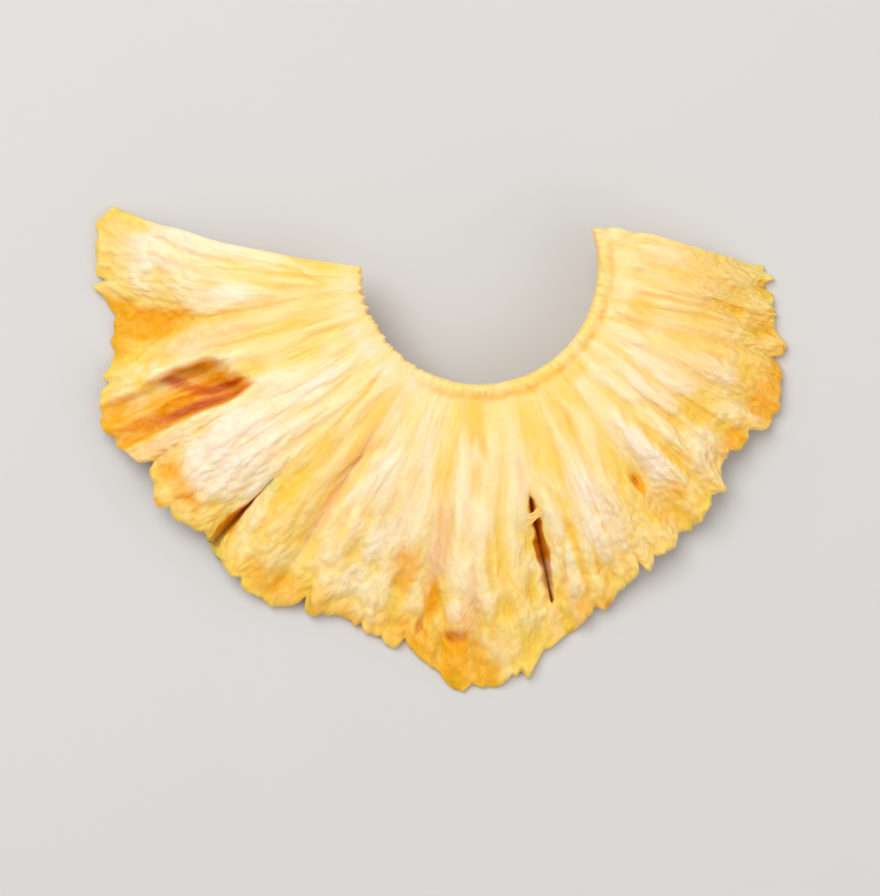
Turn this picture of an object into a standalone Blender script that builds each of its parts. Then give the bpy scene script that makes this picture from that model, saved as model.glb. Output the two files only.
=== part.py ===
import math

import bmesh
import bpy
from mathutils import Vector, noise

# A half ring of dried pineapple, lying on a table with the shown side up.
# Lengths are in metres and angles in degrees: 0 is to the right, and minus turns clockwise.
# The flesh is laid out on a sheet: "along" runs round the ring from the right arm (0) to the
# left arm (1), and "out" runs from the cored hole (0) to the outer edge (1).

NAME = "pineapple_slice"
TOP_LAYER = "top_height"

# Driving sizes
RING_RADIUS = 0.0405
CORE_RADIUS = 0.0135
FLESH_THICKNESS = 0.0036
CROWN_HEIGHT = 0.0080

# The core was cut off centre, so the ring's own middle lies down and left of the hole's
RING_OFFSET = Vector((-0.0043, -0.0049))

# The straight knife cut that halved the ring: each arm's end, at the hole and at the outer edge
RIGHT_END = (19.0, 1.0)
LEFT_END = (-180.0, -190.0)
RIGHT_END_BEND = 1.6
LEFT_END_BEND = 0.8

# The fibres fan straight out from the hole between these angles, and lean only near the cut
FIBRE_FAN = (10.0, -185.0)
CUT_REACH = 0.15

# Where the outer edge swells out or draws in: angle, reach and spread
LOBES = (
    (0.0, -0.0019, 8.0),
    (-25.0, 0.0012, 3.5),
    (-36.0, -0.0026, 5.0),
    (-56.0, -0.0026, 10.0),
    (-87.0, 0.0034, 5.0),
    (-93.5, 0.0022, 2.2),
    (-113.0, -0.0025, 8.0),
    (-135.0, -0.0026, 2.6),
    (-147.0, -0.0014, 5.0),
    (-158.0, 0.0012, 5.0),
    (-171.0, -0.0024, 4.0),
    (-185.0, 0.0012, 5.0),
)
SCALLOP_REACH = 0.0009
SCALLOP_PER_DEGREE = 0.19
SCALLOP_SHARE = 0.75

# The slice rests on three drooping spots of its edge, and its edge lifts between them
FOOT_SPACING = 94.0
EDGE_LIFT = 0.0042
DROOP_BEND = 1.5
TABLE_BEND = 0.0006
REST_DEPTH = 0.0004

# Creases between the flaps of flesh: angle, depth, spread, and how far out each starts
CREASES = (
    (-14.0, 0.0007, 3.0, 0.40),
    (-27.0, 0.0010, 3.0, 0.45),
    (-51.0, 0.0020, 4.5, 0.35),
    (-66.0, 0.0007, 3.0, 0.30),
    (-78.0, 0.0016, 4.0, 0.40),
    (-98.0, 0.0020, 4.5, 0.45),
    (-111.0, 0.0008, 3.0, 0.30),
    (-122.5, 0.0021, 3.5, 0.15),
    (-134.5, 0.0022, 3.5, 0.45),
    (-170.0, 0.0034, 3.6, 0.50),
)
CREASE_RISE = 0.35

# The torn seed hollow in the left arm: it has a blunt head, a thin floor and a narrower mouth
# at the outer edge
HOLLOW_MIDDLE = -156.8
HOLLOW_HALF_WIDTH = 4.0
HOLLOW_MOUTH_SHARE = 0.62
HOLLOW_START = 0.51
HOLLOW_HEAD = 0.09
HOLLOW_DEPTH = 0.0023
HOLLOW_EDGE_DEPTH = 0.0013
HOLLOW_WALL = 2.6

# Pleats of fibre, which fan out from the hole; each splits in two towards the outer edge
PLEAT_COUNT = 27
PLEAT_HEIGHT = 0.0007
PLEAT_SHARE = 0.65
PLEAT_TWIN_SHARE = 0.35
PLEAT_TWIN_SHIFT = 0.3
PLEAT_FULL_FROM = 0.45
PLEAT_DRIFTS_PER_SLICE = 9.0
PLEAT_DRIFTS_OUTWARDS = 1.5
FIBRE_WANDER = 1.4
FIBRE_WANDERS_PER_SLICE = 5.0

# The raised lip round the right of the hole, and the crumbly edge round its left
LIP_HEIGHT = 0.0009
LIP_WIDTH = 0.07
LIP_END_ANGLE = -108.0
LIP_FADE = 14.0
CRUMBLE_REACH = 0.0005
CRUMBLE_PER_DEGREE = 0.24

# Splits along the fibres: angle, where it starts and ends, half its width, and how far the
# flesh on its left stands above the flesh on its right
SPLITS = (
    (-78.0, 0.40, 0.86, 0.00075, 0.0003),
    (-134.5, 0.66, 1.0, 0.0011, 0.0012),
)
SPLIT_SPREAD = 0.022
SPLIT_FULLNESS = 0.7

# Share of the full thickness: at the hole, mid-way, at the outer edge and at the cut ends
THICKNESS_AT_HOLE = 0.90
THICKNESS_MIDWAY = 1.0
THICKNESS_AT_EDGE = 0.42
THICKNESS_AT_CUT = 0.70
THICKNESS_IN_HOLLOW = 0.36
THICK_FROM = 0.30
THIN_FROM = 0.45
CUT_ROUNDING = 0.03

# Which stretch of the noise field each uneven feature is read from
WANDER_SEED = 3.7
SCALLOP_SEED = 11.3
CRUMBLE_SEED = 4.1
PLEAT_SEED = 8.2

# Mesh fineness
COLUMNS = 140
ROWS = 14
ROW_BEND = 1.15
SAME_PLACE = 1e-5
SHARP_ANGLE = 50.0


def bell(distance, spread):
    """1 at no distance, fading smoothly to 0 over about twice the spread."""
    return math.exp(-((distance / spread) ** 2) / 2)


def ramp(value, start, end):
    """A smooth rise from 0 at start to 1 at end."""
    share = min(1.0, max(0.0, (value - start) / (end - start)))
    return share * share * (3 - 2 * share)


def blend(first, second, share):
    return first + (second - first) * share


def fibre_angle(along, out):
    """The direction of a point of the sheet, seen from the middle of the hole."""
    right = blend(RIGHT_END[1], RIGHT_END[0], (1 - out) ** RIGHT_END_BEND)
    left = blend(LEFT_END[0], LEFT_END[1], out**LEFT_END_BEND)
    straight = blend(FIBRE_FAN[0], FIBRE_FAN[1], along)
    straight += (right - FIBRE_FAN[0]) * (1 - ramp(along, 0.0, CUT_REACH))
    straight += (left - FIBRE_FAN[1]) * ramp(along, 1 - CUT_REACH, 1.0)
    wander = noise.noise(Vector((along * FIBRE_WANDERS_PER_SLICE, out, WANDER_SEED)))
    inside = math.sin(math.pi * along)
    return straight + FIBRE_WANDER * wander * inside * out


def outer_radius(angle):
    """Distance from the middle of the hole to the outer edge."""
    direction = Vector((math.cos(math.radians(angle)), math.sin(math.radians(angle))))
    towards = RING_OFFSET.dot(direction)
    aside = RING_OFFSET.length_squared - towards * towards
    radius = towards + math.sqrt(RING_RADIUS**2 - aside)
    radius += sum(reach * bell(angle - middle, spread) for middle, reach, spread in LOBES)
    scallop = noise.noise(Vector((angle * SCALLOP_PER_DEGREE, SCALLOP_SEED, 0.0)))
    return radius + SCALLOP_REACH * (abs(scallop) * 2 - (1 - SCALLOP_SHARE))


def hole_radius(angle):
    """The hole's edge is clean on the right, and crumbly where the lip ends."""
    crumbly = 1 - ramp(angle, LIP_END_ANGLE - LIP_FADE, LIP_END_ANGLE)
    teeth = noise.noise(Vector((angle * CRUMBLE_PER_DEGREE, CRUMBLE_SEED, 0.0)))
    return CORE_RADIUS + CRUMBLE_REACH * crumbly * abs(teeth) * 2


def in_hollow(angle, out):
    """1 on the floor of the seed hollow and 0 outside it."""
    head = HOLLOW_START + HOLLOW_HEAD
    opening = math.sqrt(min(1.0, max(0.0, (out - HOLLOW_START) / HOLLOW_HEAD)))
    narrowing = blend(1.0, HOLLOW_MOUTH_SHARE, ramp(out, head, 1.0))
    half_width = HOLLOW_HALF_WIDTH * opening * narrowing
    past_wall = ramp(abs(angle - HOLLOW_MIDDLE), half_width, half_width + HOLLOW_WALL)
    return (1 - past_wall) * ramp(out, HOLLOW_START, head)


def pleats(along, out):
    """Rounded ridges of fibre with sharp valleys between them."""
    place = Vector((along * PLEAT_DRIFTS_PER_SLICE, out * PLEAT_DRIFTS_OUTWARDS, PLEAT_SEED))
    strand = along * PLEAT_COUNT + noise.noise(place)
    ridge = 1 - abs(2 * (strand % 1.0) - 1) ** 2
    twin = 1 - abs(2 * ((2 * strand + PLEAT_TWIN_SHIFT) % 1.0) - 1) ** 2
    height = ridge * PLEAT_SHARE + twin * PLEAT_TWIN_SHARE * out - 0.5
    return PLEAT_HEIGHT * ramp(out, 0.0, PLEAT_FULL_FROM) * height


def middle_height(angle, along, out):
    """Height of the middle of the flesh above the table."""
    lift = EDGE_LIFT * math.sin(math.pi * angle / FOOT_SPACING) ** 2
    height = blend(CROWN_HEIGHT, lift, out**DROOP_BEND)
    for middle, depth, spread, start in CREASES:
        rise = ramp(out, start, start + CREASE_RISE)
        height -= depth * rise * math.exp(-abs(angle - middle) / spread)
    deep = blend(HOLLOW_DEPTH, HOLLOW_EDGE_DEPTH, ramp(out, HOLLOW_START, 1.0))
    height -= deep * in_hollow(angle, out)
    lip = ramp(angle, LIP_END_ANGLE - LIP_FADE, LIP_END_ANGLE) * bell(out, LIP_WIDTH)
    return height + LIP_HEIGHT * lip + pleats(along, out)


def on_table(height, half_thickness):
    """Lets the flesh bend to lie on the table where it would sink into it."""
    above = height - half_thickness
    return half_thickness + (above + math.hypot(above, TABLE_BEND)) / 2


def thickness_share(angle, along, out):
    """How thick the flesh is at a point, as a share of its full thickness."""
    share = blend(THICKNESS_AT_HOLE, THICKNESS_MIDWAY, ramp(out, 0.0, THICK_FROM))
    share = blend(share, THICKNESS_AT_EDGE, ramp(out, THIN_FROM, 1.0))
    share = blend(share, THICKNESS_IN_HOLLOW, in_hollow(angle, out))
    from_cut = min(along, 1 - along)
    return share * blend(THICKNESS_AT_CUT, 1.0, ramp(from_cut, 0.0, CUT_ROUNDING))


def split_column(angle, out):
    """The column of the sheet that runs nearest to an angle at a given distance out."""
    columns = range(1, COLUMNS)
    return min(columns, key=lambda i: abs(fibre_angle(i / COLUMNS, out) - angle))


def split_share(split, out):
    """How far a split is open at a distance out; one that reaches the edge stays open there."""
    start, end = split[1:3]
    if not start < out <= end:
        return 0.0
    share = (out - start) / (end - start)
    shape = share if end >= 1.0 else math.sin(math.pi * share)
    return shape**SPLIT_FULLNESS


def flesh_sheet():
    """A flat grid cut open along the splits. Returns it with each point's place on the sheet,
    and how far the splits push that point sideways and up."""
    sheet = bmesh.new()
    bmesh.ops.create_grid(sheet, x_segments=COLUMNS, y_segments=ROWS, size=0.5)
    cuts = [(split, split_column(split[0], (split[1] + split[2]) / 2)) for split in SPLITS]
    for split, column in cuts:
        line = column / COLUMNS - 0.5
        first = math.ceil(split[1] * ROWS) / ROWS - 0.5 - SAME_PLACE
        last = math.floor(split[2] * ROWS) / ROWS - 0.5 + SAME_PLACE
        on_line = {
            vert
            for vert in sheet.verts
            if abs(vert.co.x - line) < SAME_PLACE and first < vert.co.y < last
        }
        edges = [edge for edge in sheet.edges if on_line.issuperset(edge.verts)]
        bmesh.ops.split_edges(sheet, edges=edges)
    places = []
    for vert in sheet.verts:
        along, row = vert.co.x + 0.5, vert.co.y + 0.5
        out = row**ROW_BEND
        sideways = 0.0
        upwards = 0.0
        for split, column in cuts:
            half_width, step = split[3:]
            away = along - column / COLUMNS
            fade = math.exp(-abs(away) / SPLIT_SPREAD)
            if abs(away) < SAME_PLACE:
                middles = [face.calc_center_median().x for face in vert.link_faces]
                away = sum(middles) / len(middles) - vert.co.x
            side = 0 if abs(away) < SAME_PLACE else math.copysign(1, away)
            pull = side * fade * split_share(split, out)
            sideways += pull * half_width
            upwards += pull * step / 2
        places.append((along, out, sideways, upwards))
    return sheet, places


def shape_sheet(sheet, places):
    """Moves the flat grid into the underside of the slice, and notes on each point how high the
    top lies above it. What droops to the table is pressed flat there."""
    top_layer = sheet.verts.layers.float.new(TOP_LAYER)
    for vert, (along, out, sideways, upwards) in zip(sheet.verts, places):
        angle = fibre_angle(along, out)
        radius = blend(hole_radius(angle), outer_radius(angle), out)
        turned = math.radians(angle) - sideways / radius
        half = FLESH_THICKNESS * thickness_share(angle, along, out) / 2
        middle = on_table(middle_height(angle, along, out) + upwards, half) - REST_DEPTH
        vert.co = (radius * math.cos(turned), radius * math.sin(turned), max(0, middle - half))
        vert[top_layer] = middle + half


def draw_up(sheet):
    """Draws the underside up to the top of the slice, which closes the body all round."""
    top_layer = sheet.verts.layers.float[TOP_LAYER]
    drawn = bmesh.ops.extrude_face_region(sheet, geom=sheet.faces[:], use_keep_orig=True)
    for item in drawn["geom"]:
        if isinstance(item, bmesh.types.BMVert):
            item.co.z = item[top_layer]
    bmesh.ops.recalc_face_normals(sheet, faces=sheet.faces)


def flesh_material():
    material = bpy.data.materials.new("dried_flesh")
    material.use_nodes = True
    shader = material.node_tree.nodes["Principled BSDF"]
    shader.inputs["Base Color"].default_value = (0.93, 0.62, 0.17, 1.0)
    shader.inputs["Roughness"].default_value = 0.5
    shader.inputs["Metallic"].default_value = 0.0
    return material


def stand_at_origin(sheet):
    """Moves the body so that the middle of its box is over the origin."""
    across = [vert.co.x for vert in sheet.verts]
    deep = [vert.co.y for vert in sheet.verts]
    shift = Vector((-(min(across) + max(across)) / 2, -(min(deep) + max(deep)) / 2, 0))
    bmesh.ops.translate(sheet, verts=sheet.verts, vec=shift)


def build_slice(collection):
    sheet, places = flesh_sheet()
    shape_sheet(sheet, places)
    draw_up(sheet)
    stand_at_origin(sheet)
    mesh = bpy.data.meshes.new(NAME)
    sheet.to_mesh(mesh)
    sheet.free()
    mesh.materials.append(flesh_material())
    mesh.shade_smooth()
    mesh.set_sharp_from_angle(angle=math.radians(SHARP_ANGLE))
    collection.objects.link(bpy.data.objects.new(NAME, mesh))


def main():
    for obj in list(bpy.data.objects):
        bpy.data.objects.remove(obj)
    collection = bpy.data.collections.new("dried_pineapple")
    bpy.context.scene.collection.children.link(collection)
    build_slice(collection)


main()
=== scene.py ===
import math
import random

import bmesh
import bpy
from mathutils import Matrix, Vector, noise
from mathutils.bvhtree import BVHTree


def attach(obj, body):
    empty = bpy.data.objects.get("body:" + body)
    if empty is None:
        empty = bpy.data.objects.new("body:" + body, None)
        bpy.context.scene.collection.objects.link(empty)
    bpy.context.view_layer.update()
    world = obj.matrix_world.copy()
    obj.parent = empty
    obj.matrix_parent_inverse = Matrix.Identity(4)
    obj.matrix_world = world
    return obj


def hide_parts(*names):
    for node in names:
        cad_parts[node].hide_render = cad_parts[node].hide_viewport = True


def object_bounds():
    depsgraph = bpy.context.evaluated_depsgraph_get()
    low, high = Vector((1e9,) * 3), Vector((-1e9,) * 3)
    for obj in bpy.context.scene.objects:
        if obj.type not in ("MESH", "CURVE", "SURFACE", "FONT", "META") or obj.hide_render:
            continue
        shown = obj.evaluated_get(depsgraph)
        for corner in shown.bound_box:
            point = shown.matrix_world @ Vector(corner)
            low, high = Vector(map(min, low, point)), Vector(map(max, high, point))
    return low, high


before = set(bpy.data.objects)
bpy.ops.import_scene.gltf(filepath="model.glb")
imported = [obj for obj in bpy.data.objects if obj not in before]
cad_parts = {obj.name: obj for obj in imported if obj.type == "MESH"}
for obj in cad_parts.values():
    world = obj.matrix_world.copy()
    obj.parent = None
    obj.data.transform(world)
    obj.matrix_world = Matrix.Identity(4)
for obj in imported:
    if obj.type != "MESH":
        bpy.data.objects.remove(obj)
cadLow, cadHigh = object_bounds()
print("frame loaded: one slice,", " x ".join(f"{1000 * side:.1f}" for side in cadHigh - cadLow), "mm")

# Lengths are in metres, and angles in degrees round the middle of the cored hole: 0 is to the
# right and minus turns clockwise. "along" runs round the half ring from its right arm (0) to its
# left arm (1), "out" runs from the hole (0) to the outer edge (1).


# small helpers

def blend(first, second, share):
    return first + (second - first) * share


def ramp(value, start, end):
    share = min(1.0, max(0.0, (value - start) / (end - start)))
    return share * share * (3 - 2 * share)


def bell(distance, spread):
    return math.exp(-((distance / spread) ** 2) / 2)


def uneven(x, y=0.0, z=0.0):
    # smooth noise from about -1 to 1; the last number in a call only picks another stretch of it
    return noise.noise(Vector((x, y, z)))


def wrinkled(x, y=0.0, z=0.0):
    # round ridges near 1 with sharp valleys at 0
    return min(1.0, abs(noise.noise(Vector((x, y, z)))) * 2)


# A node socket that sums and products can be written with; each adds a Math node
class wire:
    def __init__(self, socket):
        self.socket = socket
        self.tree = socket.id_data

    @staticmethod
    def node(tree, kind, settings=None, values=None, out=0):
        made = tree.nodes.new(kind)
        for name, value in (settings or {}).items():
            setattr(made, name, value)
        for name, value in (values or {}).items():
            if isinstance(value, wire):
                tree.links.new(value.socket, made.inputs[name])
            else:
                made.inputs[name].default_value = value
        return wire(made.outputs[out])

    def math(self, operation, first, second=0.0):
        return wire.node(self.tree, "ShaderNodeMath", {"operation": operation}, {0: first, 1: second})

    def __add__(self, other):
        return self.math("ADD", self, other)

    def __mul__(self, other):
        return self.math("MULTIPLY", self, other)

    def __sub__(self, other):
        return self.math("SUBTRACT", self, other)

    def __rsub__(self, other):
        return self.math("SUBTRACT", other, self)

    def __abs__(self):
        return self.math("ABSOLUTE", self)

    __radd__ = __add__
    __rmul__ = __mul__

    def atMost(self, other):
        return self.math("MINIMUM", self, other)

    def atLeast(self, other):
        return self.math("MAXIMUM", self, other)

    def between(self, low, high):
        # 0 below low, 1 above high
        values = {"Value": self, "From Min": low, "From Max": high}
        return wire.node(self.tree, "ShaderNodeMapRange", {"interpolation_type": "SMOOTHSTEP"}, values)


def point(tree, x, y, z=0.0):
    return wire.node(tree, "ShaderNodeCombineXYZ", values={"X": x, "Y": y, "Z": z})


def speckle(tree, place, scale=1.0, detail=2.0, roughness=0.5):
    values = {"Vector": place, "Scale": scale, "Detail": detail, "Roughness": roughness}
    return wire.node(tree, "ShaderNodeTexNoise", values=values)


def mixed(tree, share, first, second):
    # a colour from first, where share is 0, to second, where it is 1
    values = {0: share, 6: first, 7: second}
    return wire.node(tree, "ShaderNodeMix", {"data_type": "RGBA"}, values, out=2)


def addObject(name, data):
    added = bpy.data.objects.new(name, data)
    bpy.context.scene.collection.objects.link(added)
    return added


def newMaterial(name):
    material = bpy.data.materials.new(name)
    material.use_nodes = True
    tree = material.node_tree
    return material, tree, tree.nodes["Principled BSDF"]


def storedValue(tree, name):
    # a value that the points of the mesh carry, read in a geometry tree
    settings = {"data_type": "FLOAT"}
    return wire.node(tree, "GeometryNodeInputNamedAttribute", settings, {"Name": name})


def newGeometryTree(name, sizes):
    # a tree with a geometry, a material and these named sizes as its inputs
    tree = bpy.data.node_groups.new(name, "GeometryNodeTree")
    face = tree.interface
    face.new_socket("Geometry", in_out="OUTPUT", socket_type="NodeSocketGeometry")
    face.new_socket("Geometry", in_out="INPUT", socket_type="NodeSocketGeometry")
    face.new_socket("finish", in_out="INPUT", socket_type="NodeSocketMaterial")
    for size in sizes:
        face.new_socket(size, in_out="INPUT", socket_type="NodeSocketFloat")
    entry = tree.nodes.new("NodeGroupInput")
    inputs = {socket.name: wire(socket) for socket in entry.outputs if socket.name}
    return tree, inputs


def endGeometryTree(tree, geometry, inputs):
    whole = wire.node(tree, "GeometryNodeRealizeInstances", values={"Geometry": geometry})
    values = {"Geometry": whole, "Material": inputs["finish"]}
    finished = wire.node(tree, "GeometryNodeSetMaterial", values=values)
    leave = tree.nodes.new("NodeGroupOutput")
    tree.links.new(finished.socket, leave.inputs[0])


def grown(name, mesh, tree, sizes, material):
    # runs a geometry tree on a mesh and returns its result as a plain object
    seed = addObject(name + "Seed", mesh)
    modifier = seed.modifiers.new(name, "NODES")
    modifier.node_group = tree
    for item in tree.interface.items_tree:
        if item.in_out == "INPUT" and item.name in sizes:
            modifier[item.identifier] = sizes[item.name]
        elif item.in_out == "INPUT" and item.name == "finish":
            modifier[item.identifier] = material
    graph = bpy.context.evaluated_depsgraph_get()
    plain = bpy.data.meshes.new_from_object(seed.evaluated_get(graph), depsgraph=graph)
    bpy.data.objects.remove(seed)
    plain.name = name
    return addObject(name, plain)


# the form of the flesh, as the solid has it, with what the solid leaves out

flesh = {
    "ringRadius": 0.0405,
    "coreRadius": 0.0135,
    "thickness": 0.0036,
    "crownHeight": 0.0080,
    "ringOffset": Vector((-0.0043, -0.0049)),
    "holeMiddle": Vector((0.004598, 0.020812, 0.0)),
    "rightEnd": (19.0, 1.0, 1.6),  # angle at the hole, at the outer edge, and the bend between
    "leftEnd": (-180.0, -190.0, 0.8),
    "fan": (10.0, -185.0),  # the fibres fan straight out between these angles
    "cutReach": 0.15,  # and lean only this near to the cut, as a share of "along"
    "footSpacing": 94.0,
    "edgeLift": 0.0042,
    "droopBend": 1.5,
    "tableBend": 0.0006,
    "restDepth": 0.0004,
    "creaseRise": 0.35,
    "creaseReach": 6,  # how many spreads away a crease is still felt
    # creaseShade scales the painted shade of the creases in the flesh's colour
    "creaseShade": 0.0025,  # a crease this deep has its full shade
    "pleats": 27,
    "pleatHeight": 0.0007,
    "pleatShares": (0.65, 0.35),  # of each pleat, and of the two that it splits into
    "pleatFull": 0.45,  # how far out the pleats have their full height
    "fibreWander": 1.4,
    "thicknessShares": (0.90, 1.0, 0.42),  # at the hole, midway and at the outer edge
    "thickFrom": 0.30,
    "thinFrom": 0.45,
    "thicknessAtCut": 0.70,
    "cutTaper": 0.03,
    "leastThickness": 0.0001,
    "hollowThickness": 0.36,
    "columns": 720,
    "rows": 66,
    "rowCrowding": 0.45,  # how much the rows crowd towards the hole and the edge
    "samePlace": 1e-6,
}

# where the outer edge swells out or draws in: angle, reach, spread
lobes = (
    (0.0, -0.0019, 8.0),
    (-25.0, 0.0012, 3.5),
    (-36.0, -0.0026, 5.0),
    (-56.0, -0.0026, 10.0),
    (-87.0, 0.0034, 5.0),
    (-93.5, 0.0022, 2.2),
    (-113.0, -0.0025, 8.0),
    (-135.0, -0.0026, 2.6),
    (-147.0, -0.0014, 5.0),
    (-158.0, 0.0012, 5.0),
    (-171.0, -0.0024, 4.0),
    (-185.0, 0.0012, 5.0),
)

# creases between the flaps: angle, depth, spread, how far out each starts
creases = (
    (-14.0, 0.0007, 3.0, 0.40),
    (-27.0, 0.0010, 3.0, 0.45),
    (-51.0, 0.0020, 4.5, 0.35),
    (-66.0, 0.0007, 3.0, 0.30),
    (-78.0, 0.0016, 4.0, 0.40),
    (-98.0, 0.0020, 4.5, 0.45),
    (-111.0, 0.0008, 3.0, 0.30),
    (-122.5, 0.0021, 3.5, 0.15),
    (-134.5, 0.0022, 3.5, 0.45),
    (-170.0, 0.0034, 3.6, 0.50),
)

# the rolled rim along the right part of the hole, with a groove behind it
lip = {
    "end": -108.0,
    "fade": 14.0,
    "place": 0.0007,
    "height": 0.0007,
    "width": 0.0006,
    "grooveAway": 0.0010,
    "grooveDepth": 0.00016,
    "grooveWidth": 0.00026,
    # the gold line in the groove is painted shade under the lip
    "goldAway": 0.0016,  # a gold line runs in the groove
    "goldWidth": 0.00032,
    "strength": 0.75,
    # how it swells and wanders: how much, how fast, and which stretch of the noise
    "swells": ((0.8, 0.13, 71.0), (0.35, 0.45, 72.0)),
    "wanders": ((0.0004, 0.16, 73.0), (0.0002, 0.6, 74.0)),
}

hollow = {
    # out, middle angle and half width; its head is slanted, and its sides come together outwards
    "path": (
        (0.50, -153.4, 0.0),
        (0.545, -155.0, 2.3),
        (0.60, -156.9, 4.0),
        (0.74, -157.3, 3.6),
        (0.83, -156.7, 2.9),
        (1.06, -156.8, 2.6),
    ),
    "middle": -157.3,
    "reach": 8.0,  # nothing of it lies further from its middle, in degrees
    "depth": 0.0026,
    "edgeDepth": 0.0013,
    "shallowFrom": 0.55,
    "wall": 1.4,
    "softness": 0.030,
    "strandHeight": 0.0012,  # a ridge of flesh left standing in it
    "strandWidth": 0.75,
    "strandRise": (0.57, 0.72),
}

# splits along the fibres: angle, start, end, half the width, step between its two sides
splits = (
    (-77.7, 0.42, 0.87, 0.00066, 0.0002),
    (-134.5, 0.64, 1.0, 0.0009, 0.0012),
)
splitShape = {
    "spread": 0.022,  # how far round the ring the flesh beside it gives way
    "fullness": 0.7,
    "floor": 0.02,  # how wide the underside opens, as a share of the top
    "raggedness": 0.9, "raggedRate": 24.0,
    "edgeShare": 0.55,  # share of the thickness that is left at its two edges
    # wallReach also sets how far in from its edges the slit's painted shade reaches
    "wallReach": 0.00025,  # how far in from its edges its tones reach
    "calm": 1.6,  # keeps the relief of fibres off its walls
}

# tears in the outer edge, narrow ones and one wide bay: angle, depth, spread
notches = (
    (-14.0, 0.0005, 12.0),
    (-3.5, 0.0006, 0.45),
    (-16.5, 0.0008, 0.40),
    (-30.5, 0.0010, 0.55),
    (-43.0, 0.0006, 0.42),
    (-61.5, 0.0015, 0.36),
    (-71.0, 0.0009, 0.50),
    (-84.0, 0.0012, 0.34),
    (-101.5, 0.0014, 0.50),
    (-108.5, 0.0010, 0.36),
    (-118.0, 0.0015, 0.40),
    (-128.0, 0.0009, 0.50),
    (-142.5, 0.0010, 0.44),
    (-149.5, 0.0013, 0.36),
    (-163.0, 0.0010, 0.42),
    (-178.5, 0.0014, 0.40),
)

# small pointed nibs of flesh between the tears: angle, reach, spread
nibCount = 44
nibChance = random.Random(17)
nibs = [
    (nibChance.uniform(-189, 1), nibChance.uniform(0.0001, 0.0004), nibChance.uniform(0.5, 1.4))
    for i in range(nibCount)
]

ragged = {
    "scallop": 0.0009, "scallopRate": 0.19,
    "tooth": 0.00075, "toothRate": 0.34,
    "nibble": 0.00015, "nibbleRate": 0.80,
    "warp": 2.2, "warpRate": 0.21,
    "tornLeast": 0.35, "tornMore": 0.75, "tornRate": 0.06,
    "drawnIn": 0.0001,
    "crumble": 0.0005, "crumbleRate": 0.20,
    "crumb": 0.00012, "crumbRate": 0.17, "crumbFineRate": 0.7,
    "crumbWarp": 5.0, "crumbWarpRate": 0.13,
    "crumbLeast": 0.15, "crumbMore": 2.2, "crumbPatchRate": 0.09,
    "rimWave": 0.00008, "rimWaveRate": 0.2,
    "curl": 0.0006, "curlRate": 0.16,
    "flutter": 0.00035, "flutterRate": 0.7,
    "lump": 0.00048, "lumpSize": 0.0030, "lumpNearHole": 0.3,
    # lumpShade: how far out the lumps get painted light and shade in the flesh's colour
    "lumpStarts": (0.1, 0.4), "lumpGrows": (0.45, 0.92), "lumpShade": (0.3, 0.8),
    "paleRise": 0.00060, "amberDip": 0.0004, "burntDip": 0.0009,
    "rounding": 0.0006,  # how far in from an edge the flesh starts to round off
    "edgeShare": 0.22,  # share of the thickness that is left at the very edge
    "holeEdgeShare": 0.35,
}


def fibreAngle(along, out):
    first, last, bend = flesh["rightEnd"]
    right = blend(last, first, (1 - out) ** bend)
    first, last, bend = flesh["leftEnd"]
    left = blend(first, last, out**bend)
    fanRight, fanLeft = flesh["fan"]
    straight = blend(fanRight, fanLeft, along)
    straight += (right - fanRight) * (1 - ramp(along, 0.0, flesh["cutReach"]))
    straight += (left - fanLeft) * ramp(along, 1 - flesh["cutReach"], 1.0)
    wander = uneven(along * 5.0, out, 3.7)
    return straight + flesh["fibreWander"] * wander * math.sin(math.pi * along) * out


def outerRadius(angle):
    # the outline of the solid, without the fine ragged teeth
    direction = Vector((math.cos(math.radians(angle)), math.sin(math.radians(angle))))
    offset = flesh["ringOffset"]
    towards = offset.dot(direction)
    radius = towards + math.sqrt(flesh["ringRadius"] ** 2 - offset.length_squared + towards**2)
    radius += sum(reach * bell(angle - middle, spread) for middle, reach, spread in lobes)
    return radius + ragged["scallop"] * (abs(uneven(angle * ragged["scallopRate"], 11.3)) * 2 - 0.25)


def edgeTeeth(angle):
    # rounded nibs and torn fibre ends along the outer edge, more of them in some stretches
    stretch = ramp(uneven(angle * ragged["tornRate"], 51.0), -0.35, 0.35)
    torn = ragged["tornLeast"] + ragged["tornMore"] * stretch
    warped = angle + ragged["warp"] * uneven(angle * ragged["warpRate"], 61.0)
    teeth = ragged["tooth"] * (wrinkled(warped * ragged["toothRate"], 23.0) - 0.4)
    nibbles = ragged["nibble"] * (wrinkled(warped * ragged["nibbleRate"], 31.0) - 0.5)
    cuts = sum(depth * bell(angle - middle, spread) for middle, depth, spread in notches)
    points = sum(reach * bell(angle - middle, spread) for middle, reach, spread in nibs)
    return torn * teeth + nibbles * (0.4 + torn) + points - cuts - ragged["drawnIn"]


def onLip(angle):
    # 1 where the hole has its rolled lip, 0 where its rim is crumbly
    return ramp(angle, lip["end"] - lip["fade"], lip["end"])


def holeRadius(angle):
    bites = ragged["crumble"] * abs(uneven(angle * ragged["crumbleRate"], 4.1)) * 2
    warped = angle + ragged["crumbWarp"] * uneven(angle * ragged["crumbWarpRate"], 16.0)
    crumbs = 0.6 - wrinkled(warped * ragged["crumbRate"], 14.1)
    crumbs += 0.6 * uneven(warped * ragged["crumbFineRate"], 14.7)
    patches = 1 + ragged["crumbMore"] * uneven(angle * ragged["crumbPatchRate"], 15.3)
    crumbs *= ragged["crumb"] * max(ragged["crumbLeast"], patches)
    smooth = ragged["rimWave"] * uneven(angle * ragged["rimWaveRate"], 17.0)
    return flesh["coreRadius"] + (1 - onLip(angle)) * (bites + crumbs) + smooth


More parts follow.
